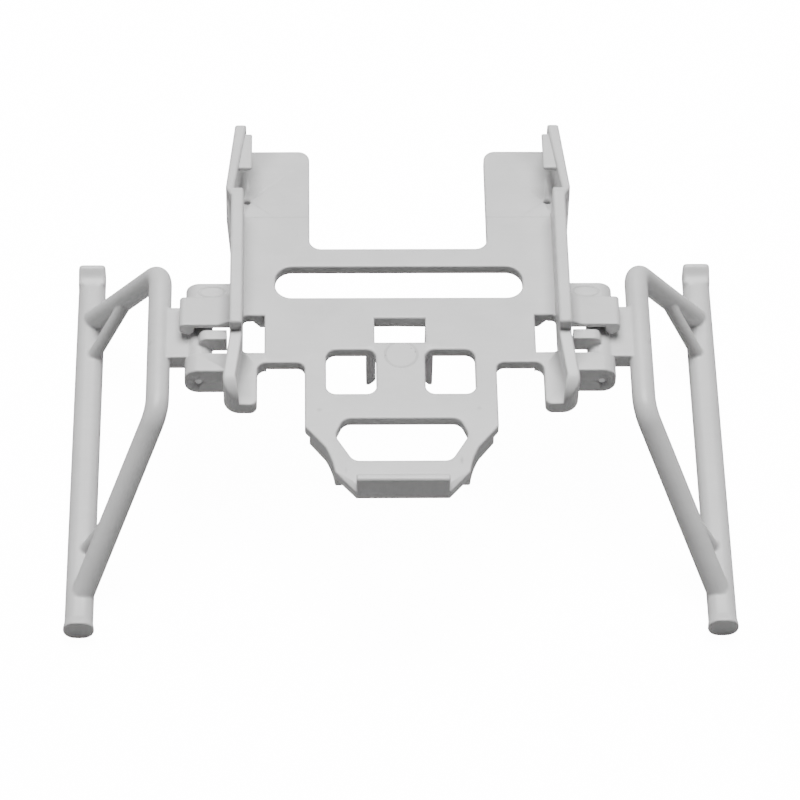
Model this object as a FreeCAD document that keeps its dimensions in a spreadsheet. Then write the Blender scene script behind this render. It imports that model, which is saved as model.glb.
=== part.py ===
import FreeCAD, Part
import Sketcher
import math
import os

# Folding landing gear for a small drone: a moulded tray that clips under the
# drone's belly and two splayed legs that fold flat under it on steel pins.
# X runs to the right, Y to the rear and Z up, in millimetres. The origin is on
# the ground, in the middle of the whole thing's length and width.
doc = FreeCAD.newDocument("landing_gear")

# Driving sizes. Heights are above the ground or above or below the deck's top.
# Sizes that end in _y are distances along the length from the middle: front
# ones are negative.
SIZES = {
    # Deck, the flat plate of the tray
    "deck_height": 35.4,
    "deck_thickness": 2.2,
    "rear_end_y": 49.7,
    "front_end_y": -39.3,
    "notch_half": 18.25,
    "notch_floor_y": 23.05,
    "nose_half": 19.33,
    "shoulder_y": -23.0,
    "hip_half": 15.3,
    "hip_y": -28.1,
    "waist_half": 13.4,
    "waist_y": -34.3,
    "waist_curve": 18.0,
    "lip_half": 9.2,
    "lobe_corner": 2.4,
    "notch_corner": 2.4,
    "nose_corner": 1.6,
    # Openings in the deck
    "slot_half": 25.3,
    "slot_front_y": 10.05,
    "slot_rear_y": 18.13,
    "slot_corner": 3.4,
    "peephole_half": 5.15,
    "peephole_front_y": -1.57,
    "peephole_rear_y": 4.6,
    "window_inner": 4.95,
    "window_outer": 15.0,
    "window_front_y": -14.75,
    "window_rear_y": -3.6,
    "window_corner": 2.0,
    "grip_rear_half": 11.6,
    "grip_wide_half": 13.3,
    "grip_front_half": 9.7,
    "grip_rear_y": -21.1,
    "grip_wide_y": -25.2,
    "grip_front_y": -31.45,
    "grip_corner": 2.2,
    "gap_width": 4.35,
    "gap_front_y": -4.15,
    "gap_rear_y": 5.4,
    "gap_corner": 0.9,
    "drain_inset": 0.6,
    "drain_y": 35.8,
    "drain_diameter": 1.8,
    # Side walls, rear clip arms and their hooks
    "wall_inner": 31.8,
    "wall_thickness": 2.55,
    "wall_height": 8.5,
    "top_edge": 0.5,
    "step_y": -3.2,
    "arm_root_y": 32.5,
    "arm_joggle": 1.15,
    "arm_toe_in": 1.8,
    "arm_root_thickness": 1.75,
    "arm_tip_thickness": 2.4,
    "joggle_y": 30.4,
    "bulge_y": 20.5,
    "bulge_height": 6.0,
    "hook_reach": 1.2,
    "hook_front_y": 38.2,
    "hook_rear_y": 47.7,
    "hook_depth": 1.3,
    "hook_drop": 0.7,
    # Front walls and the paws that they run down into
    "front_wall_height": 5.9,
    "flare": 1.25,
    "flare_y": -13.7,
    "paw_front_y": -17.6,
    "paw_inset": 2.95,
    "paw_thickness": 3.1,
    "paw_roll": 4.9,
    "paw_outer_corner": 3.3,
    "paw_inner_corner": 1.5,
    "bridge_front_y": -6.9,
    "band_overlap": 0.45,
    "bridge_corner": 1.8,
    # Front lip and the skirt under the nose
    "lip_height": 3.9,
    "lip_thickness": 1.75,
    "lip_depth": 3.0,
    "lip_lean": 0.5,
    "lip_edge": 0.6,
    "skirt_depth": 4.9,
    "skirt_thickness": 1.6,
    "skirt_inset": 0.8,
    # Clip under the deck that holds the folded legs
    "prong_thickness": 1.65,
    "prong_depth": 14.4,
    "prong_catch": 0.35,
    "prong_catch_height": 1.0,
    "prong_lead": 1.2,
    "prong_lead_height": 1.5,
    "prong_gusset": 0.8,
    "prong_gusset_height": 2.2,
    "patch_depth": 2.9,
    "patch_margin": 1.4,
    "rib_inset": 1.85,
    "rib_width": 2.8,
    "rib_slope": 1.6,
    "rib_depth": 4.2,
    "rib_rear_y": 24.0,
    # Hinge
    "pin_outset": 6.35,
    "pin_below_deck": 3.6,
    "pin_diameter": 1.7,
    "pin_recess": 0.15,
    "pin_chamfer": 0.2,
    "bore_clearance": 0.05,
    "web_inset": 0.6,
    "lug_half_height": 3.6,
    "lug_past_pin": 2.85,
    "lug_corner": 2.75,
    "lug_length": 4.75,
    "front_lug_y": -9.0,
    "barrel_length": 13.0,
    "barrel_end_gap": 0.2,
    "barrel_radius": 2.7,
    # Spring finger of the tray that snaps on to the unfolded leg
    "finger_past_pin": 3.95,
    "finger_top": 2.2,
    "finger_thickness": 1.2,
    "finger_corner": 0.9,
    "finger_rim": 0.3,
    "finger_front_y": 1.1,
    "finger_rear_y": 8.5,
    "finger_gusset": 1.3,
    "finger_gusset_width": 2.5,
    "nose_past_pin": 2.05,
    "nose_tip_below": 1.45,
    "nose_width": 3.0,
    # Stop tab of the leg
    "tab_reach": 5.7,
    "tab_bottom": 0.7,
    "tab_top": 4.6,
    "tab_length": 2.5,
    "tab_gap": 0.2,
    "tab_corner": 1.5,
    # Legs
    "flange_thickness": 3.7,
    "bar_past_pin": 8.2,
    "bar_diameter": 4.8,
    "bar_front_y": -16.2,
    "bar_rear_y": 19.3,
    "rear_bend": 4.8,
    "front_bend": 6.5,
    "skid_past_bar": 16.0,
    "skid_width": 5.8,
    "skid_height": 5.2,
    "skid_corner": 2.25,
    "skid_rear_y": 43.0,
    "strut_front_foot_y": -42.2,
    "strut_rear_foot_y": 29.9,
    "brace_diameter": 2.8,
    "rear_brace_drop": 14.3,
    "rear_brace_foot_y": 19.0,
    "front_brace_drop": 17.4,
    "front_brace_foot_y": -31.1,
    "flare_width": 6.3,
    "flare_height": 5.55,
    "flare_corner": 2.6,
    "flare_length": 1.5,
    "flare_rim": 0.5,
    "tip_height": 1.5,
    "tip_thickness": 1.1,
    "tip_sweep": 3.4,
    "tip_corner": 0.5,
}

sheet = doc.addObject("Spreadsheet::Sheet", "Sizes")
for row, (name, number) in enumerate(SIZES.items(), start=1):
    sheet.set(f"A{row}", name)
    sheet.set(f"B{row}", str(number))
    sheet.setAlias(f"B{row}", name)
doc.recompute()


class Size:
    """A length that knows both its number and its formula in the sheet's names."""

    def __init__(self, number, formula):
        self.number = number
        self.formula = formula

    def __add__(self, other):
        other = as_size(other)
        return Size(self.number + other.number, f"({self.formula} + {other.formula})")

    def __sub__(self, other):
        other = as_size(other)
        return Size(self.number - other.number, f"({self.formula} - {other.formula})")

    def __mul__(self, other):
        other = as_size(other)
        return Size(self.number * other.number, f"({self.formula} * {other.formula})")

    def __truediv__(self, other):
        other = as_size(other)
        return Size(self.number / other.number, f"({self.formula} / {other.formula})")

    def __neg__(self):
        return Size(-self.number, f"(-1 * {self.formula})")


def as_size(value):
    if isinstance(value, Size):
        return value
    return Size(float(value), str(value))


def size(name):
    return Size(SIZES[name], f"Sizes.{name}")


ZERO = as_size(0)
ACROSS = FreeCAD.Vector(1, 0, 0)
ALONG = FreeCAD.Vector(0, 1, 0)
UP = FreeCAD.Vector(0, 0, 1)


def bind(item, prop, length):
    """Ties one property to the sheet."""
    item.setExpression(prop, length.formula)


def origin_plane(body, role):
    return next(f for f in body.Origin.OriginFeatures if f.Role == role)


def sketch_on(body, name, role, level=ZERO):
    """An empty sketch on one of the body's own planes, moved along its normal."""
    sketch = body.newObject("Sketcher::SketchObject", name)
    sketch.AttachmentSupport = [(origin_plane(body, role), "")]
    sketch.MapMode = "FlatFace"
    sketch.AttachmentOffset = FreeCAD.Placement(
        FreeCAD.Vector(0, 0, level.number), FreeCAD.Rotation()
    )
    bind(sketch, "AttachmentOffset.Base.z", level)
    return sketch


def pin_down(sketch, geometry, point, across, up):
    """Fixes one point of a sketch to two lengths of the sheet."""
    for kind, length in (("DistanceX", across), ("DistanceY", up)):
        index = sketch.addConstraint(
            Sketcher.Constraint(kind, -1, 1, geometry, point, length.number)
        )
        sketch.setExpression(f"Constraints[{index}]", length.formula)


def draw_loop(sketch, corners, closed=True):
    """Joins corners by straight lines, or by an arc where a corner gives a radius.

    A corner is (across, up) or (across, up, radius). The radius bends the line
    to the next corner: positive bulges to the right of the way, negative to the left.
    """
    corners = [tuple(as_size(value) for value in corner) for corner in corners]
    count = len(corners)
    segments = count if closed else count - 1
    ends = []
    for number in range(segments):
        start = corners[number]
        end = corners[(number + 1) % count]
        a = FreeCAD.Vector(start[0].number, start[1].number, 0)
        b = FreeCAD.Vector(end[0].number, end[1].number, 0)
        backwards = False
        if len(start) == 3:
            bend = start[2].number
            along = b - a
            to_left = FreeCAD.Vector(-along.y, along.x, 0).normalize()
            offset = math.sqrt(bend ** 2 - (along.Length / 2) ** 2)
            centre = (a + b) * 0.5 + to_left * math.copysign(offset, bend)
            if bend < 0:
                a, b = b, a
                backwards = True
            first = math.atan2(a.y - centre.y, a.x - centre.x)
            last = math.atan2(b.y - centre.y, b.x - centre.x)
            if last < first:
                last += 2 * math.pi
            circle = Part.Circle(centre, UP, abs(bend))
            index = sketch.addGeometry(Part.ArcOfCircle(circle, first, last), False)
            radius = sketch.addConstraint(
                Sketcher.Constraint("Radius", index, abs(bend))
            )
            sketch.setExpression(f"Constraints[{radius}]", f"abs({start[2].formula})")
        else:
            index = sketch.addGeometry(Part.LineSegment(a, b), False)
        pin_down(sketch, index, 1 + backwards, start[0], start[1])
        ends.append((index, 1 + backwards, 1 + (not backwards)))
    for number in range(segments - 1 + int(closed)):
        index, _, end_point = ends[number]
        following, next_start, _ = ends[(number + 1) % segments]
        sketch.addConstraint(
            Sketcher.Constraint("Coincident", index, end_point, following, next_start)
        )
    if not closed:
        pin_down(sketch, ends[-1][0], ends[-1][2], corners[-1][0], corners[-1][1])


def draw_circle(sketch, across, up, diameter):
    index = sketch.addGeometry(
        Part.Circle(
            FreeCAD.Vector(across.number, up.number, 0),
            FreeCAD.Vector(0, 0, 1),
            diameter.number / 2,
        ),
        False,
    )
    pin_down(sketch, index, 3, across, up)
    constraint = sketch.addConstraint(
        Sketcher.Constraint("Diameter", index, diameter.number)
    )
    sketch.setExpression(f"Constraints[{constraint}]", diameter.formula)


def pad(body, name, sketch, length):
    feature = body.newObject("PartDesign::Pad", name)
    feature.Profile = sketch
    bind(feature, "Length", length)
    return feature


def cut_through(body, name, sketch, reverse=False):
    feature = body.newObject("PartDesign::Pocket", name)
    feature.Profile = sketch
    feature.Type = "ThroughAll"
    feature.Reversed = reverse
    return feature


def round_edges(body, name, radius, chosen):
    """Rounds the edges of the body's last feature that the test picks."""
    doc.recompute()
    base = body.Tip
    names = [
        f"Edge{number}"
        for number, edge in enumerate(base.Shape.Edges, start=1)
        if chosen(edge)
    ]
    feature = body.newObject("PartDesign::Fillet", name)
    feature.Base = (base, names)
    bind(feature, "Radius", radius)
    return feature


def is_straight(edge, direction):
    if not isinstance(edge.Curve, Part.Line):
        return False
    return abs(edge.Curve.Direction.dot(direction)) > 0.9999


def upright_at(*spots):
    """Picks upright edges that stand on one of the given plan points."""

    def chosen(edge):
        if not is_straight(edge, UP):
            return False
        middle = edge.CenterOfMass
        return any(
            math.hypot(middle.x - x.number, middle.y - y.number) < 0.01
            for x, y in spots
        )

    return chosen


# Heights and places that several pieces share
deck_top = size("deck_height")
deck_bottom = deck_top - size("deck_thickness")
wall_inner = size("wall_inner")
wall_outer = wall_inner + size("wall_thickness")
flare_outer = wall_outer + size("flare")
paw_inner = wall_inner - size("paw_inset")
gap_inner = wall_inner - size("gap_width")
pin_x = wall_outer + size("pin_outset")
lug_outer = pin_x + size("lug_past_pin")
bar_x = pin_x + size("bar_past_pin")
skid_x = bar_x + size("skid_past_bar")
pin_z = deck_top - size("pin_below_deck")
lug_bottom = pin_z - size("lug_half_height")
front_lug_rear = size("front_lug_y") + size("lug_length")
barrel_front = front_lug_rear + size("barrel_end_gap")
barrel_rear = barrel_front + size("barrel_length")
rear_lug_front = barrel_rear + size("barrel_end_gap")
rear_lug_rear = rear_lug_front + size("lug_length")
front_end = size("front_end_y")
rear_end = size("rear_end_y")
half_length = rear_end


def build_tray():
    """The tray is one moulding. Its right half is modelled and then mirrored."""
    body = doc.addObject("PartDesign::Body", "TrayBody")
    body.Label = "tray"
    corner_x = flare_outer - size("paw_outer_corner")
    corner_y = size("paw_front_y") + size("paw_outer_corner")

    # Deck plate, seen from above
    plan = sketch_on(body, "DeckPlan", "XY_Plane", deck_bottom)
    draw_loop(plan, [
        (ZERO, size("notch_floor_y")),
        (ZERO, front_end),
        (size("lip_half"), front_end),
        (size("waist_half"), size("waist_y"), -size("waist_curve")),
        (size("hip_half"), size("hip_y")),
        (size("nose_half"), size("shoulder_y")),
        (size("nose_half"), size("bridge_front_y")),
        (paw_inner, size("bridge_front_y")),
        (paw_inner, size("paw_front_y")),
        (corner_x, size("paw_front_y"), size("paw_outer_corner")),
        (flare_outer, corner_y),
        (flare_outer, size("flare_y")),
        (wall_outer, size("gap_front_y")),
        (wall_outer, rear_end),
        (size("notch_half"), rear_end),
        (size("notch_half"), size("notch_floor_y")),
    ])
    pad(body, "Deck", plan, size("deck_thickness"))

    # The bridge and the paw are thicker than the deck and hang a little lower
    band_inner = gap_inner - size("band_overlap")
    thick = sketch_on(body, "PawPlan", "XY_Plane", deck_top - size("paw_thickness"))
    draw_loop(thick, [
        (band_inner, size("bridge_front_y")),
        (paw_inner, size("bridge_front_y")),
        (paw_inner, size("paw_front_y")),
        (corner_x, size("paw_front_y"), size("paw_outer_corner")),
        (flare_outer, corner_y),
        (flare_outer, size("flare_y")),
        (wall_outer, size("gap_front_y")),
        (band_inner, size("gap_front_y")),
    ])
    pad(body, "Paw", thick, size("paw_thickness"))

    # A thicker patch of the deck carries the clip
    prong_outer = size("peephole_half") + size("prong_thickness")
    patch_half = prong_outer + size("prong_gusset")
    patch_front = size("peephole_front_y") - size("patch_margin")
    patch_rear = size("peephole_rear_y") + size("patch_margin")
    patch = sketch_on(body, "PatchPlan", "XY_Plane", deck_top - size("patch_depth"))
    draw_loop(patch, [
        (ZERO, patch_front),
        (patch_half, patch_front),
        (patch_half, patch_rear),
        (ZERO, patch_rear),
    ])
    pad(body, "Patch", patch, size("patch_depth"))

    # Front wall, flaring outwards towards the paw
    front_wall = sketch_on(body, "FrontWallPlan", "XY_Plane", deck_bottom)
    flare_inner = flare_outer - size("wall_thickness")
    draw_loop(front_wall, [
        (wall_inner, size("step_y")),
        (wall_inner, size("gap_front_y")),
        (flare_inner, size("flare_y")),
        (corner_x, size("paw_front_y"), size("paw_outer_corner")),
        (flare_outer, corner_y),
        (flare_outer, size("flare_y")),
        (wall_outer, size("gap_front_y")),
        (wall_outer, size("step_y")),
    ])
    pad(body, "FrontWall", front_wall, size("deck_thickness") + size("front_wall_height"))

    # The front wall's top slopes a little and rolls over down to the paw's floor
    roll_start = size("paw_front_y") + size("paw_roll")
    roll_height = deck_top + size("paw_roll")
    above = deck_top + size("front_wall_height") + 1
    ahead = size("paw_front_y") - 1
    roll = sketch_on(body, "PawRoll", "YZ_Plane")
    draw_loop(roll, [
        (size("gap_front_y"), deck_top + size("front_wall_height")),
        (size("gap_front_y"), above),
        (ahead, above),
        (ahead, deck_top),
        (size("paw_front_y"), deck_top, -size("paw_roll")),
        (roll_start, roll_height),
    ])
    cut_through(body, "PawRollCut", roll, reverse=True)

    # Corners of the plan
    round_edges(body, "PawInnerCorner", size("paw_inner_corner"), upright_at(
        (paw_inner, size("paw_front_y")),
    ))
    round_edges(body, "BridgeCorner", size("bridge_corner"), upright_at(
        (paw_inner, size("bridge_front_y")),
    ))
    round_edges(body, "NoseCorner", size("nose_corner"), upright_at(
        (size("nose_half"), size("bridge_front_y")),
    ))
    round_edges(body, "LobeCorner", size("lobe_corner"), upright_at(
        (size("notch_half"), rear_end),
    ))
    round_edges(body, "NotchCorner", size("notch_corner"), upright_at(
        (size("notch_half"), size("notch_floor_y")),
    ))

    # Openings through the deck
    over = as_size(-1)
    openings = sketch_on(body, "OpeningPlan", "XY_Plane", deck_top)
    draw_loop(openings, [
        (over, size("slot_front_y")),
        (size("slot_half"), size("slot_front_y")),
        (size("slot_half"), size("slot_rear_y")),
        (over, size("slot_rear_y")),
    ])
    draw_loop(openings, [
        (over, size("peephole_front_y")),
        (size("peephole_half"), size("peephole_front_y")),
        (size("peephole_half"), size("peephole_rear_y")),
        (over, size("peephole_rear_y")),
    ])
    draw_loop(openings, [
        (size("window_inner"), size("window_front_y")),
        (size("window_outer"), size("window_front_y")),
        (size("window_outer"), size("window_rear_y")),
        (size("window_inner"), size("window_rear_y")),
    ])
    draw_loop(openings, [
        (over, size("grip_front_y")),
        (size("grip_front_half"), size("grip_front_y")),
        (size("grip_wide_half"), size("grip_wide_y")),
        (size("grip_rear_half"), size("grip_rear_y")),
        (over, size("grip_rear_y")),
    ])
    draw_loop(openings, [
        (gap_inner, size("gap_front_y")),
        (wall_inner - size("gap_corner"), size("gap_front_y"), size("gap_corner")),
        (wall_inner, size("gap_front_y") + size("gap_corner")),
        (wall_inner, size("gap_rear_y") - size("gap_corner"), size("gap_corner")),
        (wall_inner - size("gap_corner"), size("gap_rear_y")),
        (gap_inner, size("gap_rear_y")),
    ])
    drain_x = wall_inner - size("drain_inset")
    draw_circle(openings, drain_x, size("drain_y"), size("drain_diameter"))
    cut_through(body, "Openings", openings)
    round_edges(body, "SlotCorners", size("slot_corner"), upright_at(
        (size("slot_half"), size("slot_front_y")),
        (size("slot_half"), size("slot_rear_y")),
    ))
    round_edges(body, "WindowCorners", size("window_corner"), upright_at(
        (size("window_inner"), size("window_front_y")),
        (size("window_outer"), size("window_front_y")),
        (size("window_outer"), size("window_rear_y")),
        (size("window_inner"), size("window_rear_y")),
    ))
    round_edges(body, "GripCorners", size("grip_corner"), upright_at(
        (size("grip_front_half"), size("grip_front_y")),
        (size("grip_wide_half"), size("grip_wide_y")),
        (size("grip_rear_half"), size("grip_rear_y")),
    ))

    # Side wall, and the rear clip arm that steps out from it and leans back in
    # towards its tip. Their top edges are rounded.
    wall_top = deck_top + size("wall_height")
    arm_outer_root = wall_outer + size("arm_joggle")
    arm_outer_tip = arm_outer_root - size("arm_toe_in")
    arm_inner_root = arm_outer_root - size("arm_root_thickness")
    arm_inner_tip = arm_outer_tip - size("arm_tip_thickness")
    wall = sketch_on(body, "WallPlan", "XY_Plane", deck_bottom)
    draw_loop(wall, [
        (wall_inner, size("step_y")),
        (wall_outer, size("step_y")),
        (wall_outer, size("joggle_y")),
        (arm_outer_root, size("arm_root_y")),
        (arm_outer_tip, rear_end),
        (arm_inner_tip, rear_end),
        (arm_inner_root, size("arm_root_y")),
        (wall_inner, size("arm_root_y")),
    ])
    pad(body, "Wall", wall, size("deck_thickness") + size("wall_height"))

    def on_wall_top(edge):
        box = edge.BoundBox
        return abs(box.ZMin - wall_top.number) + abs(box.ZMax - wall_top.number) < 0.01

    round_edges(body, "WallTop", size("top_edge"), on_wall_top)

    # Bulge on the outside where the clip arm starts
    bulge = sketch_on(body, "BulgePlan", "XY_Plane", deck_bottom)
    draw_loop(bulge, [
        (arm_inner_root, size("bulge_y")),
        (wall_outer, size("bulge_y")),
        (arm_outer_root, size("arm_root_y")),
        (arm_inner_root, size("arm_root_y")),
    ])
    pad(body, "Bulge", bulge, size("deck_thickness") + size("bulge_height"))

    # Hook on the arm's inner face that snaps over the drone's body
    hook_top = wall_top - size("hook_drop")
    hook_root = arm_inner_root
    hook_inner = arm_inner_tip - size("hook_reach")
    hook = sketch_on(body, "HookSide", "XZ_Plane", -size("hook_rear_y"))
    draw_loop(hook, [
        (hook_inner, hook_top),
        (hook_inner, hook_top - size("hook_depth") / 2),
        (arm_inner_tip, hook_top - size("hook_depth")),
        (hook_root, hook_top - size("hook_depth")),
        (hook_root, hook_top),
    ])
    pad(body, "Hook", hook, size("hook_rear_y") - size("hook_front_y"))

    # Lip across the front end, and its undercut lower face
    lip = sketch_on(body, "LipSide", "YZ_Plane")
    lip_rear = front_end + size("lip_thickness")
    lip_top = deck_top + size("lip_height")
    lip_edge = size("lip_edge")
    draw_loop(lip, [
        (front_end, lip_top - lip_edge),
        (front_end, deck_top),
        (front_end + size("lip_lean"), deck_top - size("lip_depth")),
        (lip_rear + size("lip_lean"), deck_top - size("lip_depth")),
        (lip_rear + size("lip_lean"), deck_top),
        (lip_rear, lip_top - lip_edge, lip_edge),
        (lip_rear - lip_edge, lip_top),
        (front_end + lip_edge, lip_top, lip_edge),
    ])
    pad(body, "Lip", lip, size("lip_half"))

    # Skirt that stiffens the nose on each side
    skirt_bottom = deck_top - size("skirt_depth")
    skirt = sketch_on(body, "SkirtPlan", "XY_Plane", skirt_bottom)
    inner_wall = size("skirt_inset") + size("skirt_thickness")
    draw_loop(skirt, [
        (size("waist_half"), size("waist_y"), -size("waist_curve")),
        (size("hip_half"), size("hip_y")),
        (size("nose_half") - size("skirt_inset"), size("shoulder_y") - size("skirt_inset")),
        (size("nose_half") - inner_wall, size("shoulder_y") - size("skirt_inset")),
        (size("hip_half") - size("skirt_thickness"), size("hip_y")),
        (size("waist_half") - size("skirt_thickness"), size("waist_y")),
    ])
    pad(body, "Skirt", skirt, size("skirt_depth") - size("deck_thickness"))

    # Lugs that hold the hinge pin, and the web between them under the wall
    web_inner = wall_inner + size("web_inset")
    for name, rear in (("FrontLug", front_lug_rear), ("RearLug", rear_lug_rear)):
        lug = sketch_on(body, name + "Side", "XZ_Plane", -rear)
        draw_loop(lug, [
            (web_inner, deck_top),
            (web_inner, lug_bottom),
            (lug_outer, lug_bottom),
            (lug_outer, deck_top),
        ])
        pad(body, name, lug, size("lug_length"))
    web = sketch_on(body, "WebSide", "YZ_Plane", web_inner)
    draw_loop(web, [
        (size("front_lug_y"), lug_bottom),
        (rear_lug_rear, lug_bottom),
        (rear_lug_rear, deck_top),
        (size("front_lug_y"), deck_top),
    ])
    pad(body, "Web", web, size("wall_thickness") - size("web_inset"))

    def lug_ends(edge):
        if not is_straight(edge, ALONG):
            return False
        middle = edge.CenterOfMass
        return abs(middle.x - lug_outer.number) < 0.01

    round_edges(body, "LugEnds", size("lug_corner"), lug_ends)

    # Spring finger over the hinge, with a nose that drops behind the barrel
    finger_top = deck_top + size("finger_top")
    finger_bottom = finger_top - size("finger_thickness")
    nose_tip = deck_top - size("nose_tip_below")
    finger_outer = pin_x + size("finger_past_pin")
    nose_inner = finger_outer - size("nose_width")
    corner = size("finger_corner")
    finger = sketch_on(body, "FingerSide", "XZ_Plane", -size("finger_rear_y"))
    draw_loop(finger, [
        (wall_inner, finger_bottom),
        (nose_inner, finger_bottom),
        (nose_inner, finger_bottom - size("finger_thickness")),
        (pin_x + size("nose_past_pin"), nose_tip),
        (finger_outer, finger_bottom - size("finger_thickness")),
        (finger_outer, finger_top - corner, corner),
        (finger_outer - corner, finger_top),
        (wall_outer + size("finger_gusset_width"), finger_top),
        (wall_outer, finger_top + size("finger_gusset")),
        (wall_inner, finger_top + size("finger_gusset")),
    ])
    pad(body, "Finger", finger, size("finger_rear_y") - size("finger_front_y"))

    def on_finger_rim(edge):
        box = edge.BoundBox
        in_plane = any(
            abs(box.YMin - face.number) + abs(box.YMax - face.number) < 0.01
            for face in (size("finger_front_y"), size("finger_rear_y"))
        )
        outside = box.XMin > wall_outer.number - 0.01
        return in_plane and outside and box.ZMax > finger_bottom.number + 0.01

    round_edges(body, "FingerRims", size("finger_rim"), on_finger_rim)

    # Clip under the deck: two springy prongs with small catches inside their tips,
    # which the folded skids snap in between
    prong = sketch_on(body, "ProngSide", "XZ_Plane", -size("peephole_rear_y"))
    prong_tip = deck_top - size("prong_depth")
    catch = size("peephole_half") - size("prong_catch")
    catch_top = prong_tip + size("prong_lead_height") + size("prong_catch_height")
    draw_loop(prong, [
        (size("peephole_half"), deck_bottom),
        (size("peephole_half"), catch_top + size("prong_catch")),
        (catch, catch_top),
        (catch, prong_tip + size("prong_lead_height")),
        (catch + size("prong_lead"), prong_tip),
        (prong_outer, prong_tip),
        (prong_outer, deck_bottom - size("prong_gusset_height")),
        (patch_half, deck_bottom),
    ])
    pad(body, "Prong", prong, size("peephole_rear_y") - size("peephole_front_y"))

    # Long rib under the deck beside the gap
    rib = sketch_on(body, "RibSide", "XZ_Plane", -size("rib_rear_y"))
    rib_bottom = deck_top - size("rib_depth")
    rib_inner = gap_inner - size("rib_inset")
    draw_loop(rib, [
        (rib_inner, deck_bottom),
        (rib_inner, rib_bottom),
        (rib_inner + size("rib_width"), rib_bottom),
        (rib_inner + size("rib_width") + size("rib_slope"), deck_bottom),
    ])
    pad(body, "Rib", rib, size("rib_rear_y") - size("gap_rear_y"))

    # Bore for the hinge pin, right through both lugs
    bore = sketch_on(body, "PinBore", "XZ_Plane", -rear_end)
    draw_circle(bore, pin_x, pin_z, size("pin_diameter"))
    cut_through(body, "PinBoreCut", bore, reverse=True)

    doc.recompute()
    half = body.Tip
    mirror = body.newObject("PartDesign::Mirrored", "BothSides")
    mirror.TransformMode = "Whole shape"
    mirror.MirrorPlane = (origin_plane(body, "YZ_Plane"), [""])
    body.Tip = mirror
    doc.recompute()
    return body


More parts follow.
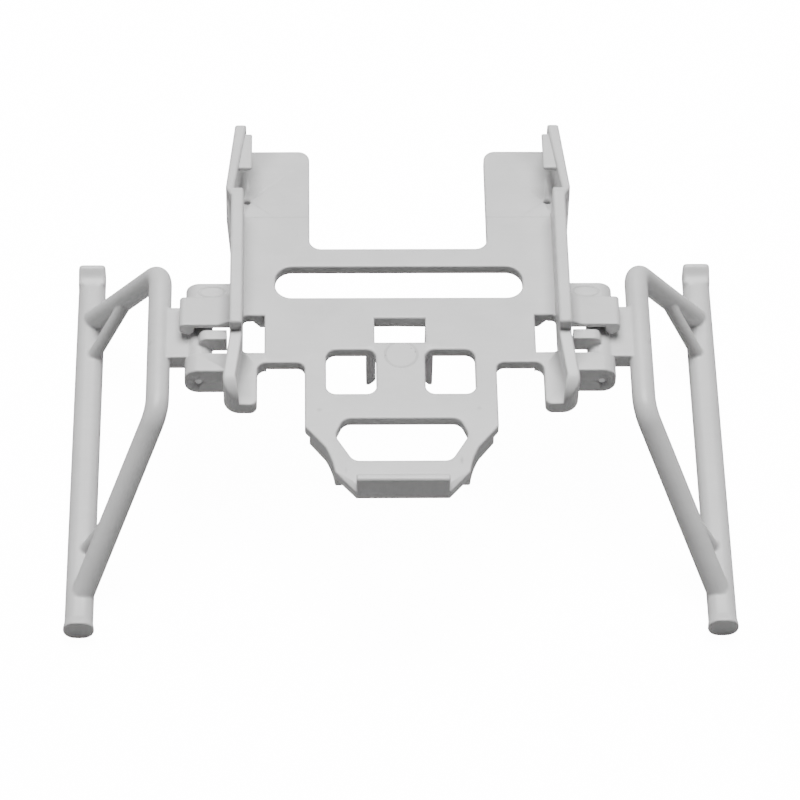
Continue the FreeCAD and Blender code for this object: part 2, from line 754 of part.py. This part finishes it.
def build_right_leg():
    """Each leg is one moulding: hinge barrel, flange, bent tube, braces and skid."""
    body = doc.addObject("PartDesign::Body", "LegBody")
    body.Label = "right_leg"
    skid_z = size("skid_height") / 2
    half_width = size("skid_width") / 2
    skid_front = -half_length + size("flare_rim") + size("flare_length")

    # Skid
    skid = sketch_on(body, "SkidEnd", "XZ_Plane", -size("skid_rear_y"))
    draw_loop(skid, [
        (skid_x - half_width, ZERO),
        (skid_x + half_width, ZERO),
        (skid_x + half_width, size("skid_height")),
        (skid_x - half_width, size("skid_height")),
    ])
    pad(body, "Skid", skid, size("skid_rear_y") - skid_front)
    round_edges(body, "SkidEdges", size("skid_corner"), lambda e: is_straight(e, ALONG))

    # The front end flares out to a thin rim
    flare_half = size("flare_width") / 2
    neck = sketch_on(body, "FlareNeck", "XZ_Plane", -skid_front)
    rim = sketch_on(body, "FlareRim", "XZ_Plane", half_length - size("flare_rim"))
    for sketch, half, height, inset in (
        (neck, half_width, size("skid_height"), size("skid_corner")),
        (rim, flare_half, size("flare_height"), size("flare_corner")),
    ):
        left, right = skid_x - half, skid_x + half
        draw_loop(sketch, [
            (left + inset, ZERO),
            (right - inset, ZERO, inset),
            (right, inset),
            (right, height - inset, inset),
            (right - inset, height),
            (left + inset, height, inset),
            (left, height - inset),
            (left, inset, inset),
        ])
    flare = body.newObject("PartDesign::AdditiveLoft", "Flare")
    flare.Profile = neck
    flare.Sections = [rim]
    flare.Ruled = True
    rim_end = sketch_on(body, "RimEnd", "XZ_Plane", half_length - size("flare_rim"))
    left, right = skid_x - flare_half, skid_x + flare_half
    height = size("flare_height")
    inset = size("flare_corner")
    draw_loop(rim_end, [
        (left + inset, ZERO),
        (right - inset, ZERO, inset),
        (right, inset),
        (right, height - inset, inset),
        (right - inset, height),
        (left + inset, height, inset),
        (left, height - inset),
        (left, inset, inset),
    ])
    pad(body, "Rim", rim_end, size("flare_rim"))

    # The rear end turns up in a short toe
    toe = sketch_on(body, "ToeSide", "YZ_Plane", skid_x - half_width)
    toe_top = size("skid_height") + size("tip_height")
    toe_face = size("skid_rear_y") - size("tip_thickness")
    rise = size("tip_height")
    run = size("tip_sweep")
    sweep = (rise * rise + run * run) / (rise * 2)
    draw_loop(toe, [
        (size("skid_rear_y"), skid_z),
        (size("skid_rear_y"), toe_top),
        (toe_face, toe_top, -sweep),
        (toe_face - run, size("skid_height")),
        (toe_face - run, skid_z),
    ])
    pad(body, "Toe", toe, size("skid_width"))

    def on_toe_top(edge):
        level = abs(edge.CenterOfMass.z - toe_top.number) < 0.01
        return level and is_straight(edge, ALONG)

    round_edges(body, "ToeCorners", size("tip_corner"), on_toe_top)

    # Bent tube: the bar along the hinge and the two struts down to the skid.
    # It lies in one plane that leans outwards from the bar to the skid.
    drop = pin_z - skid_z
    reach = skid_x - bar_x
    slant = Size(
        math.hypot(drop.number, reach.number),
        f"sqrt({drop.formula} ^ 2 + {reach.formula} ^ 2)",
    )
    lean = Size(
        math.degrees(math.atan2(reach.number, drop.number)),
        f"atan({reach.formula} / {drop.formula})",
    )

    def leg_plane(name):
        sketch = body.newObject("Sketcher::SketchObject", name)
        sketch.AttachmentSupport = [(origin_plane(body, "YZ_Plane"), "")]
        sketch.MapMode = "FlatFace"
        sketch.AttachmentOffset = FreeCAD.Placement(
            FreeCAD.Vector(0, pin_z.number, bar_x.number),
            FreeCAD.Rotation(FreeCAD.Vector(-1, 0, 0), lean.number),
        )
        bind(sketch, "AttachmentOffset.Base.y", pin_z)
        bind(sketch, "AttachmentOffset.Base.z", bar_x)
        bind(sketch, "AttachmentOffset.Rotation.Angle", lean)
        return sketch

    def tube(name, path, diameter):
        doc.recompute()
        ring = body.newObject("Sketcher::SketchObject", name + "Ring")
        ring.AttachmentSupport = [(path, "Edge1")]
        ring.MapMode = "NormalToEdge"
        draw_circle(ring, ZERO, ZERO, diameter)
        sweep = body.newObject("PartDesign::AdditivePipe", name)
        sweep.Profile = ring
        sweep.Spine = (path, [])
        return sweep

    def bend_points(corner_y, foot_y, bend):
        """Where the bend at a corner of the bar starts on the bar and on the strut."""
        run = foot_y - corner_y
        length = Size(
            math.hypot(run.number, slant.number),
            f"sqrt({run.formula} ^ 2 + {slant.formula} ^ 2)",
        )
        outward = 1 if run.number > 0 else -1
        # Half the turn from the bar to the strut has this tangent
        turn = (length - run * outward) / slant
        cut = bend * turn
        on_bar = (corner_y - cut * outward, ZERO)
        on_strut = (corner_y + run * cut / length, -(slant * cut / length))
        return on_bar, on_strut

    frame_path = leg_plane("TubePath")
    rear_bend, front_bend = size("rear_bend"), size("front_bend")
    rear_bar, rear_strut = bend_points(
        size("bar_rear_y"), size("strut_rear_foot_y"), rear_bend
    )
    front_bar, front_strut = bend_points(
        size("bar_front_y"), size("strut_front_foot_y"), front_bend
    )
    draw_loop(frame_path, [
        (size("strut_rear_foot_y"), -slant),
        (rear_strut[0], rear_strut[1], rear_bend),
        rear_bar,
        (front_bar[0], front_bar[1], front_bend),
        front_strut,
        (size("strut_front_foot_y"), -slant),
    ], closed=False)
    tube("Tube", frame_path, size("bar_diameter"))

    # Braces from the struts to the skid
    for name, corner, foot, drop_at, brace_foot in (
        ("RearBrace", "bar_rear_y", "strut_rear_foot_y", "rear_brace_drop", "rear_brace_foot_y"),
        ("FrontBrace", "bar_front_y", "strut_front_foot_y", "front_brace_drop", "front_brace_foot_y"),
    ):
        strut_y = size(corner) + (size(foot) - size(corner)) * size(drop_at) / slant
        path = leg_plane(name + "Path")
        draw_loop(path, [
            (strut_y, -size(drop_at)),
            (size(brace_foot), -slant),
        ], closed=False)
        tube(name, path, size("brace_diameter"))

    # Hinge barrel, flange and stop tab
    half_flange = size("flange_thickness") / 2
    barrel = sketch_on(body, "BarrelEnd", "XZ_Plane", -barrel_rear)
    draw_circle(barrel, pin_x, pin_z, size("barrel_radius") * 2)
    pad(body, "Barrel", barrel, size("barrel_length"))
    flange = sketch_on(body, "FlangeEnd", "XZ_Plane", -barrel_rear)
    draw_loop(flange, [
        (pin_x, pin_z - half_flange),
        (bar_x, pin_z - half_flange),
        (bar_x, pin_z + half_flange),
        (pin_x, pin_z + half_flange),
    ])
    pad(body, "Flange", flange, size("barrel_length"))
    tab_rear = size("finger_front_y") - size("tab_gap")
    tab = sketch_on(body, "TabSide", "XZ_Plane", -tab_rear)
    tab_top = pin_z + size("tab_top")
    tab_inner = pin_x - size("tab_reach")
    draw_loop(tab, [
        (tab_inner, pin_z + size("tab_bottom")),
        (pin_x, pin_z + size("tab_bottom")),
        (pin_x, tab_top - size("tab_corner"), size("tab_corner")),
        (pin_x - size("tab_corner"), tab_top),
        (tab_inner, tab_top),
    ])
    pad(body, "StopTab", tab, size("tab_length"))

    bore = sketch_on(body, "BarrelBore", "XZ_Plane", -rear_end)
    draw_circle(bore, pin_x, pin_z, size("pin_diameter") + size("bore_clearance") * 2)
    cut_through(body, "BarrelBoreCut", bore, reverse=True)
    doc.recompute()
    return body


def build_right_pin():
    """Plain steel pin with chamfered ends, pressed into both lugs."""
    body = doc.addObject("PartDesign::Body", "PinBody")
    body.Label = "right_hinge_pin"
    front = size("front_lug_y") + size("pin_recess")
    rear = rear_lug_rear - size("pin_recess")
    end = sketch_on(body, "PinEnd", "XZ_Plane", -rear)
    draw_circle(end, pin_x, pin_z, size("pin_diameter"))
    pin = pad(body, "Pin", end, rear - front)
    doc.recompute()
    ends = [
        f"Edge{number}"
        for number, edge in enumerate(pin.Shape.Edges, start=1)
        if isinstance(edge.Curve, Part.Circle)
    ]
    chamfer = body.newObject("PartDesign::Chamfer", "PinEnds")
    chamfer.Base = (pin, ends)
    bind(chamfer, "Size", size("pin_chamfer"))
    doc.recompute()
    return body


def mirror_to_left(source, label):
    copy = doc.addObject("Part::Mirroring", label.title().replace("_", ""))
    copy.Label = label
    copy.Source = source
    copy.Normal = ACROSS
    return copy


tray = build_tray()
right_leg = build_right_leg()
right_pin = build_right_pin()
left_leg = mirror_to_left(right_leg, "left_leg")
left_pin = mirror_to_left(right_pin, "left_hinge_pin")
doc.recompute()

broken = [item.Name for item in doc.Objects if {"Invalid", "Error"} & set(item.State)]
if broken:
    raise RuntimeError("objects that failed: " + ", ".join(broken))

os.makedirs("parts", exist_ok=True)
for piece in (tray, left_leg, right_leg, left_pin, right_pin):
    shape = piece.Shape
    if shape.isNull() or not shape.isValid() or len(shape.Solids) != 1:
        raise RuntimeError(f"{piece.Label} is not one sound solid")
    shape.exportStep(f"parts/{piece.Label}.step")
    box = shape.BoundBox
    print(
        f"{piece.Label}: volume {shape.Volume:.1f} mm3, "
        f"X {box.XMin:.2f}..{box.XMax:.2f}, Y {box.YMin:.2f}..{box.YMax:.2f}, "
        f"Z {box.ZMin:.2f}..{box.ZMax:.2f}"
    )
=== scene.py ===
import math

import bmesh
import bpy
from mathutils import Matrix, Vector


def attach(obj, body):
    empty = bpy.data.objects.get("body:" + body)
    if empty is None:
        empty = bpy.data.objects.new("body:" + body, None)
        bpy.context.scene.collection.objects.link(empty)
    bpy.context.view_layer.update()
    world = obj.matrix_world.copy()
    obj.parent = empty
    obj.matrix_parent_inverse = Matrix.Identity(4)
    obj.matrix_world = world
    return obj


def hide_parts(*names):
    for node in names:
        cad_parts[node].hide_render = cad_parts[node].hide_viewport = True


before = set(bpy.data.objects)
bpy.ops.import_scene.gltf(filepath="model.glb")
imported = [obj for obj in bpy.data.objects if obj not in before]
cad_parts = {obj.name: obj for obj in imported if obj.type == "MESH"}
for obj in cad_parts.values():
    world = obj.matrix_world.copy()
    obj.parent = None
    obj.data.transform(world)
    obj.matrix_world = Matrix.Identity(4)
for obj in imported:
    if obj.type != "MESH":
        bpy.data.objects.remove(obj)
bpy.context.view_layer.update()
MM = 0.001

# Grey plastic. The tray and both legs are one tough, slightly glossy nylon, dyed
# light grey, with a fine matt grain from the mould, a soft mottle where the melt
# cooled unevenly, and round or oval witnesses where the ejector pins pushed.
PLASTIC_GREY = (0.56, 0.56, 0.56)
PLASTIC_ROUGHNESS = 0.34
ARRIS_RADIUS = 0.4 * MM
ARRIS_SAMPLES = 8
GLOSS_BELOW = 0.06
GLOSS_ABOVE = 0.1
CLOUD_SCALE = 110
STREAK_SCALE = 700
GRAIN_SCALE = 3200
RELIEF_HEIGHT = 0.06 * MM
SEAM_HALF = 0.12 * MM
SEAM_RISE = 1.6


def wired_group(name, inputs, outputs):
    group = bpy.data.node_groups.new(name, "ShaderNodeTree")
    kinds = {"colour": "NodeSocketColor", "number": "NodeSocketFloat", "vector": "NodeSocketVector"}
    for socket, kind, default in inputs:
        made = group.interface.new_socket(socket, in_out="INPUT", socket_type=kinds[kind])
        made.default_value = default
    for socket, kind in outputs:
        group.interface.new_socket(socket, in_out="OUTPUT", socket_type=kinds[kind])
    given = group.nodes.new("NodeGroupInput")
    result = group.nodes.new("NodeGroupOutput")
    return group, given.outputs, result.inputs


def put_math(tree, operation, *values):
    step = tree.nodes.new("ShaderNodeMath")
    step.operation = operation
    for socket, value in zip(step.inputs, values):
        if isinstance(value, (int, float)):
            socket.default_value = value
        else:
            tree.links.new(value, socket)
    return step.outputs[0]


def moulded_skin_group():
    """Mottled colour, uneven gloss and grained normal of the moulded plastic."""
    group, given, result = wired_group(
        "moulded_skin",
        (
            ("Colour", "colour", (*PLASTIC_GREY, 1)),
            ("Mottle", "number", 0.16),
            ("Grain", "number", 0.25),
            ("Relief", "number", 0.0),
            ("Shade", "number", 1.0),
        ),
        (("Colour", "colour"), ("Roughness", "number"), ("Normal", "vector")),
    )
    nodes, links = group.nodes, group.links
    place = nodes.new("ShaderNodeTexCoord").outputs["Object"]
    clouds = nodes.new("ShaderNodeTexNoise")
    clouds.inputs["Scale"].default_value = CLOUD_SCALE
    clouds.inputs["Detail"].default_value = 5
    links.new(place, clouds.inputs["Vector"])
    drawn_out = nodes.new("ShaderNodeMapping")
    drawn_out.inputs["Scale"].default_value = (0.25, 1, 1)
    links.new(place, drawn_out.inputs["Vector"])
    streaks = nodes.new("ShaderNodeTexNoise")
    streaks.inputs["Scale"].default_value = STREAK_SCALE
    streaks.inputs["Detail"].default_value = 2
    links.new(drawn_out.outputs["Vector"], streaks.inputs["Vector"])
    mixed = put_math(group, "MULTIPLY_ADD", streaks.outputs["Fac"], 0.4, clouds.outputs["Fac"])
    centred = put_math(group, "SUBTRACT", mixed, 0.7)
    swing = put_math(group, "MULTIPLY_ADD", centred, given["Mottle"], given["Shade"])
    tint = nodes.new("ShaderNodeVectorMath")
    tint.operation = "SCALE"
    links.new(given["Colour"], tint.inputs[0])
    links.new(swing, tint.inputs["Scale"])
    links.new(tint.outputs[0], result["Colour"])
    gloss = nodes.new("ShaderNodeMapRange")
    gloss.inputs["To Min"].default_value = PLASTIC_ROUGHNESS - GLOSS_BELOW
    gloss.inputs["To Max"].default_value = PLASTIC_ROUGHNESS + GLOSS_ABOVE
    links.new(clouds.outputs["Fac"], gloss.inputs["Value"])
    links.new(gloss.outputs["Result"], result["Roughness"])
    grain = nodes.new("ShaderNodeTexNoise")
    grain.inputs["Scale"].default_value = GRAIN_SCALE
    grain.inputs["Detail"].default_value = 2
    links.new(place, grain.inputs["Vector"])
    grained = put_math(group, "MULTIPLY", grain.outputs["Fac"], given["Grain"])
    height = put_math(group, "ADD", grained, given["Relief"])
    soft_edges = nodes.new("ShaderNodeBevel")
    soft_edges.samples = ARRIS_SAMPLES
    soft_edges.inputs["Radius"].default_value = ARRIS_RADIUS
    relief = nodes.new("ShaderNodeBump")
    relief.inputs["Distance"].default_value = RELIEF_HEIGHT
    relief.inputs["Strength"].default_value = 0.8
    links.new(height, relief.inputs["Height"])
    links.new(soft_edges.outputs["Normal"], relief.inputs["Normal"])
    links.new(relief.outputs["Normal"], result["Normal"])
    return group


def witness_group():
    """A round or oval mark: a thin raised ring and the disc inside it."""
    group, given, result = wired_group(
        "witness",
        (
            ("At", "vector", (0, 0, 0)),
            ("Centre", "vector", (0, 0, 0)),
            ("Stretch", "vector", (1, 1, 0)),
            ("Rim", "number", 0.1),
        ),
        (("Ring", "number"), ("Disc", "number")),
    )
    nodes, links = group.nodes, group.links
    away = nodes.new("ShaderNodeVectorMath")
    away.operation = "SUBTRACT"
    links.new(given["At"], away.inputs[0])
    links.new(given["Centre"], away.inputs[1])
    scaled = nodes.new("ShaderNodeVectorMath")
    scaled.operation = "MULTIPLY"
    links.new(away.outputs[0], scaled.inputs[0])
    links.new(given["Stretch"], scaled.inputs[1])
    reach = nodes.new("ShaderNodeVectorMath")
    reach.operation = "LENGTH"
    links.new(scaled.outputs[0], reach.inputs[0])
    off_ring = put_math(group, "ABSOLUTE", put_math(group, "SUBTRACT", reach.outputs["Value"], 1.0))
    across = put_math(group, "DIVIDE", off_ring, given["Rim"])
    peak = put_math(group, "SUBTRACT", 1.0, across)
    links.new(put_math(group, "SMOOTH_MAX", peak, 0.0, 0.1), result["Ring"])
    short_of_rim = put_math(group, "SUBTRACT", 1.0, reach.outputs["Value"])
    inside = put_math(group, "DIVIDE", short_of_rim, given["Rim"])
    clamped = nodes.new("ShaderNodeClamp")
    links.new(inside, clamped.inputs["Value"])
    links.new(clamped.outputs[0], result["Disc"])
    return group


moulded_skin = moulded_skin_group()
witness = witness_group()


def plastic(name, marks, seam_y=None):
    """Grey plastic. A mark is (on both sides, centre, half sizes, rim, rise, dark)."""
    material = bpy.data.materials.new(name)
    material.use_nodes = True
    tree = material.node_tree
    nodes, links = tree.nodes, tree.links
    shader = nodes["Principled BSDF"]
    shader.inputs["IOR"].default_value = 1.5
    place = nodes.new("ShaderNodeTexCoord").outputs["Object"]
    parts = nodes.new("ShaderNodeSeparateXYZ")
    links.new(place, parts.inputs[0])
    folded = nodes.new("ShaderNodeCombineXYZ")
    links.new(put_math(tree, "ABSOLUTE", parts.outputs["X"]), folded.inputs["X"])
    links.new(parts.outputs["Y"], folded.inputs["Y"])
    links.new(parts.outputs["Z"], folded.inputs["Z"])
    height = shade = None
    for both_sides, centre, halves, rim, rise, dark in marks:
        mark = nodes.new("ShaderNodeGroup")
        mark.node_tree = witness
        links.new(folded.outputs[0] if both_sides else place, mark.inputs["At"])
        mark.inputs["Centre"].default_value = [value * MM for value in centre]
        mark.inputs["Stretch"].default_value = [
            1 / (value * MM) if value else 0 for value in halves
        ]
        mark.inputs["Rim"].default_value = rim
        lift = put_math(tree, "MULTIPLY", mark.outputs["Ring"], rise)
        tone = put_math(tree, "MULTIPLY", mark.outputs["Disc"], dark)
        height = lift if height is None else put_math(tree, "ADD", height, lift)
        shade = tone if shade is None else put_math(tree, "ADD", shade, tone)
    if seam_y is not None:
        from_seam = put_math(tree, "SUBTRACT", parts.outputs["Y"], seam_y * MM)
        off = put_math(tree, "ABSOLUTE", from_seam)
        line = put_math(tree, "LESS_THAN", off, SEAM_HALF)
        height = put_math(tree, "ADD", height, put_math(tree, "MULTIPLY", line, SEAM_RISE))
    look = nodes.new("ShaderNodeGroup")
    look.node_tree = moulded_skin
    links.new(height, look.inputs["Relief"])
    links.new(put_math(tree, "SUBTRACT", 1.0, shade), look.inputs["Shade"])
    links.new(look.outputs["Colour"], shader.inputs["Base Color"])
    links.new(look.outputs["Roughness"], shader.inputs["Roughness"])
    links.new(look.outputs["Normal"], shader.inputs["Normal"])
    return material


# Tray. One moulding: deck, walls, clip arms, lip, hinge lugs and clip prongs leave
# the mould together. Its outer edges are broken; the deck's underside, the drains
# and the pin bores keep theirs.
TRAY_ARRIS = 0.36 * MM
TRAY_SHARP = math.radians(32)
TRAY_ARRIS_STEPS = 3
UNDERSIDE_SLACK = 0.1 * MM
WELD = 0.002 * MM
DECK_UNDERSIDE = 33.2 * MM
DRAIN_AT = Vector((31.2, 35.8)) * MM
PIN_AT = Vector((40.7, 31.8)) * MM
BORE_KEPT = 1.1 * MM
TRAY_MARKS = (
    (False, (0.17, -4.84, 0), (3.24, 3.24, 0), 0.09, 2.5, 0.012),
    (True, (38.1, 11.5, 0), (2.65, 1.35, 0), 0.16, 3.0, 0.015),
    (False, (3.0, -4.2, 0), (0.22, 0.42, 0), 0.6, 0.0, 0.35),
    (False, (2.2, -3.3, 0), (0.3, 0.2, 0), 0.6, 0.0, 0.35),
    (False, (-3.0, -5.1, 0), (0.18, 0.25, 0), 0.6, 0.0, 0.3),
    (False, (-16.4, -18.9, 0), (0.8, 0.6, 0), 0.9, 0.0, 0.24),
    (False, (15.5, -18.6, 0), (0.7, 0.6, 0), 0.9, 0.0, 0.2),
    (False, (11.7, -31.6, 0), (0.5, 1.2, 0), 0.9, 0.0, 0.3),
    (False, (-11.2, -34.0, 0), (0.4, 1.1, 0), 0.9, 0.0, 0.14),
)
TRAY_SEAM_Y = 31.5


def merged_copy(node, name):
    """The CAD piece's mesh joined up into whole faces, as a new object."""
    shape = bmesh.new()
    shape.from_mesh(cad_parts[node].data)
    bmesh.ops.remove_doubles(shape, verts=shape.verts, dist=WELD)
    mesh = bpy.data.meshes.new(name)
    piece = bpy.data.objects.new(name, mesh)
    bpy.context.scene.collection.objects.link(piece)
    return shape, piece


def finish(shape, piece, material, node, body):
    shape.to_mesh(piece.data)
    shape.free()
    piece.data.materials.append(material)
    piece.data.shade_smooth()
    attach(piece, body)
    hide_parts(node)


def stays_crisp(edge):
    under = all(abs(v.co.z - DECK_UNDERSIDE) < UNDERSIDE_SLACK for v in edge.verts)
    drain = all(
        (Vector((abs(v.co.x), v.co.y)) - DRAIN_AT).length < BORE_KEPT for v in edge.verts
    )
    bore = all(
        (Vector((abs(v.co.x), v.co.z)) - PIN_AT).length < BORE_KEPT for v in edge.verts
    )
    return under or drain or bore


shape, piece = merged_copy("tray", "tray_moulding")
broken = [
    e for e in shape.edges
    if e.is_convex and e.calc_face_angle(0) > TRAY_SHARP and not stays_crisp(e)
]
bmesh.ops.bevel(
    shape, geom=broken, offset=TRAY_ARRIS, offset_type="OFFSET", segments=TRAY_ARRIS_STEPS,
    profile=0.5, affect="EDGES", clamp_overlap=False, material=-1,
)
finish(shape, piece, plastic("tray_grey", TRAY_MARKS, TRAY_SEAM_Y), "tray", "tray_body")
even = piece.modifiers.new("flat faces stay flat", "WEIGHTED_NORMAL")
even.keep_sharp = False

# Legs. Each is one moulding too, with soft webs where its tube, braces, flange
# and skid run into each other. The melt leaves a small dimple on the top bar.
LEG_GRID = 0.2 * MM
TOE_Y = 37.5 * MM
LEG_SMOOTHINGS = 3
TOE_SMOOTHINGS = 30
LEG_KEPT_FACES = 0.28
LEG_MARKS = (
    (True, (50.6, -0.3, 33.6), (0.75, 0.75, 0.75), 0.5, -0.6, 0.1),
)


def leg_moulding(node, name, material):
    shape, piece = merged_copy(node, name)
    shape.to_mesh(piece.data)
    cast = piece.modifiers.new("cast", "REMESH")
    cast.mode = "VOXEL"
    cast.voxel_size = LEG_GRID
    bpy.context.view_layer.update()
    whole = piece.evaluated_get(bpy.context.evaluated_depsgraph_get())
    shape.clear()
    shape.from_mesh(whole.to_mesh())
    whole.to_mesh_clear()
    piece.modifiers.clear()
    toe = [v for v in shape.verts if v.co.y > TOE_Y]
    for verts in [shape.verts] * LEG_SMOOTHINGS + [toe] * TOE_SMOOTHINGS:
        bmesh.ops.smooth_vert(
            shape, verts=verts, factor=0.5,
            use_axis_x=True, use_axis_y=True, use_axis_z=True,
        )
    finish(shape, piece, material, node, node + "_body")
    lighter = piece.modifiers.new("lighter", "DECIMATE")
    lighter.ratio = LEG_KEPT_FACES


leg_grey = plastic("leg_grey", LEG_MARKS)
leg_moulding("left_leg", "left_leg_moulding", leg_grey)
leg_moulding("right_leg", "right_leg_moulding", leg_grey)

# Hinge pins. Each is a short length of drawn steel wire, cut and chamfered and
# pressed through the tray's lugs; only its dull, turned ends show from outside.
STEEL_GREY = 0.86
STEEL_METALLIC = 0.6
STEEL_SCRATCHES = 2500
PIN_SHARP = math.radians(32)
STEEL_ROUGHNESS = 0.36


def turned_steel():
    material = bpy.data.materials.new("pin_steel")
    material.use_nodes = True
    nodes, links = material.node_tree.nodes, material.node_tree.links
    shader = nodes["Principled BSDF"]
    shader.inputs["Metallic"].default_value = STEEL_METALLIC
    place = nodes.new("ShaderNodeTexCoord")
    scratches = nodes.new("ShaderNodeTexNoise")
    scratches.inputs["Scale"].default_value = STEEL_SCRATCHES
    scratches.inputs["Detail"].default_value = 3
    links.new(place.outputs["Object"], scratches.inputs["Vector"])
    tone = nodes.new("ShaderNodeMapRange")
    tone.inputs["To Min"].default_value = STEEL_GREY * 0.85
    tone.inputs["To Max"].default_value = STEEL_GREY * 1.15
    links.new(scratches.outputs["Fac"], tone.inputs["Value"])
    links.new(tone.outputs["Result"], shader.inputs["Base Color"])
    gloss = nodes.new("ShaderNodeMapRange")
    gloss.inputs["To Min"].default_value = STEEL_ROUGHNESS - 0.08
    gloss.inputs["To Max"].default_value = STEEL_ROUGHNESS + 0.12
    links.new(scratches.outputs["Fac"], gloss.inputs["Value"])
    links.new(gloss.outputs["Result"], shader.inputs["Roughness"])
    relief = nodes.new("ShaderNodeBump")
    relief.inputs["Strength"].default_value = 0.15
    relief.inputs["Distance"].default_value = 0.02 * MM
    links.new(scratches.outputs["Fac"], relief.inputs["Height"])
    links.new(relief.outputs["Normal"], shader.inputs["Normal"])
    return material


steel = turned_steel()
for node in ("left_hinge_pin", "right_hinge_pin"):
    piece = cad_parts[node]
    piece.data.materials.clear()
    piece.data.materials.append(steel)
    piece.data.shade_smooth()
    piece.data.set_sharp_from_angle(angle=PIN_SHARP)

# Studio. The part stands on a plain white table in the soft light of a large
# lamp hung above and a little behind it, as in a catalogue picture. The table
# glows a little, so that its white stays clean round the part.
FLOOR_WHITE = (0.95, 0.95, 0.95)
FLOOR_BOUNCE = (0.34, 0.34, 0.34)
FLOOR_GLOW = 14.0
FLOOR_HALF = 3.0
FLOOR_ROUGHNESS = 0.9
OVERHEAD_POWER = 26
SIDE_POWER = 1.8
SIDE_SIZE = 0.5
ROOM_LIGHT = 0.11


def floor_sheet():
    mesh = bpy.data.meshes.new("floor")
    shape = bmesh.new()
    bmesh.ops.create_grid(shape, x_segments=1, y_segments=1, size=FLOOR_HALF)
    shape.to_mesh(mesh)
    shape.free()
    floor = bpy.data.objects.new("floor", mesh)
    bpy.context.scene.collection.objects.link(floor)
    material = bpy.data.materials.new("floor_white")
    material.use_nodes = True
    nodes, links = material.node_tree.nodes, material.node_tree.links
    shader = nodes["Principled BSDF"]
    shader.inputs["Roughness"].default_value = FLOOR_ROUGHNESS
    shader.inputs["Emission Color"].default_value = (1, 1, 1, 1)
    seen = nodes.new("ShaderNodeLightPath")
    white = nodes.new("ShaderNodeMix")
    white.data_type = "RGBA"
    white.inputs["A"].default_value = (*FLOOR_BOUNCE, 1)
    white.inputs["B"].default_value = (*FLOOR_WHITE, 1)
    links.new(seen.outputs["Is Camera Ray"], white.inputs["Factor"])
    links.new(white.outputs["Result"], shader.inputs["Base Color"])
    glow = nodes.new("ShaderNodeMath")
    glow.operation = "MULTIPLY"
    glow.inputs[1].default_value = FLOOR_GLOW
    links.new(seen.outputs["Is Camera Ray"], glow.inputs[0])
    links.new(glow.outputs[0], shader.inputs["Emission Strength"])
    mesh.materials.append(material)
    return floor


floor_sheet()


def soft_lamp(name, place, aim, width, height, power):
    lamp = bpy.data.lights.new(name, "AREA")
    lamp.shape = "RECTANGLE"
    lamp.size = width
    lamp.size_y = height
    lamp.energy = power
    holder = bpy.data.objects.new(name, lamp)
    bpy.context.scene.collection.objects.link(holder)
    holder.location = place
    turn = (Vector(aim) - Vector(place)).to_track_quat("-Z", "Y")
    holder.rotation_mode = "QUATERNION"
    holder.rotation_quaternion = turn
    return holder


soft_lamp("overhead", (0.0, 0.35, 1.1), (0, 0, 0), 0.75, 0.55, OVERHEAD_POWER)
for name, aside in (("left_side", -1.0), ("right_side", 1.0)):
    soft_lamp(name, (aside, 0.1, 0.5), (0, 0, 0.02), SIDE_SIZE, SIDE_SIZE, SIDE_POWER)

world = bpy.data.worlds.new("room")
bpy.context.scene.world = world
world.use_nodes = True
room = world.node_tree.nodes["Background"]
room.inputs["Color"].default_value = (1, 1, 1, 1)
room.inputs["Strength"].default_value = ROOM_LIGHT

# Camera. The picture is taken with a long lens from in front and well above,
# a touch to the left of the middle and turned very slightly about its own axis.
PHOTO_SIDE = 800
FOCAL_PIXELS = 3906.0
LOOK_DOWN = math.radians(52.175)
LOOK_ASIDE = math.radians(2.12)
ROLL = math.radians(1.496)
DISTANCE = 780.27 * MM
AIM = Vector((-0.286, -16.515, 35.4)) * MM

ahead = Vector((
    math.sin(LOOK_ASIDE) * math.cos(LOOK_DOWN),
    math.cos(LOOK_ASIDE) * math.cos(LOOK_DOWN),
    -math.sin(LOOK_DOWN),
))
level = Vector((math.cos(LOOK_ASIDE), -math.sin(LOOK_ASIDE), 0))
above = level.cross(ahead)
across = level * math.cos(ROLL) + above * math.sin(ROLL)
upward = -level * math.sin(ROLL) + above * math.cos(ROLL)

lens = bpy.data.cameras.new("camera")
lens.sensor_width = 36
lens.lens = FOCAL_PIXELS * lens.sensor_width / PHOTO_SIDE
lens.clip_start = 0.01
lens.clip_end = 20
camera = bpy.data.objects.new("camera", lens)
bpy.context.scene.collection.objects.link(camera)
turn = Matrix((across, upward, -ahead)).transposed()
camera.matrix_world = Matrix.Translation(AIM - ahead * DISTANCE) @ turn.to_4x4()
bpy.context.scene.camera = camera
bpy.context.view_layer.update()
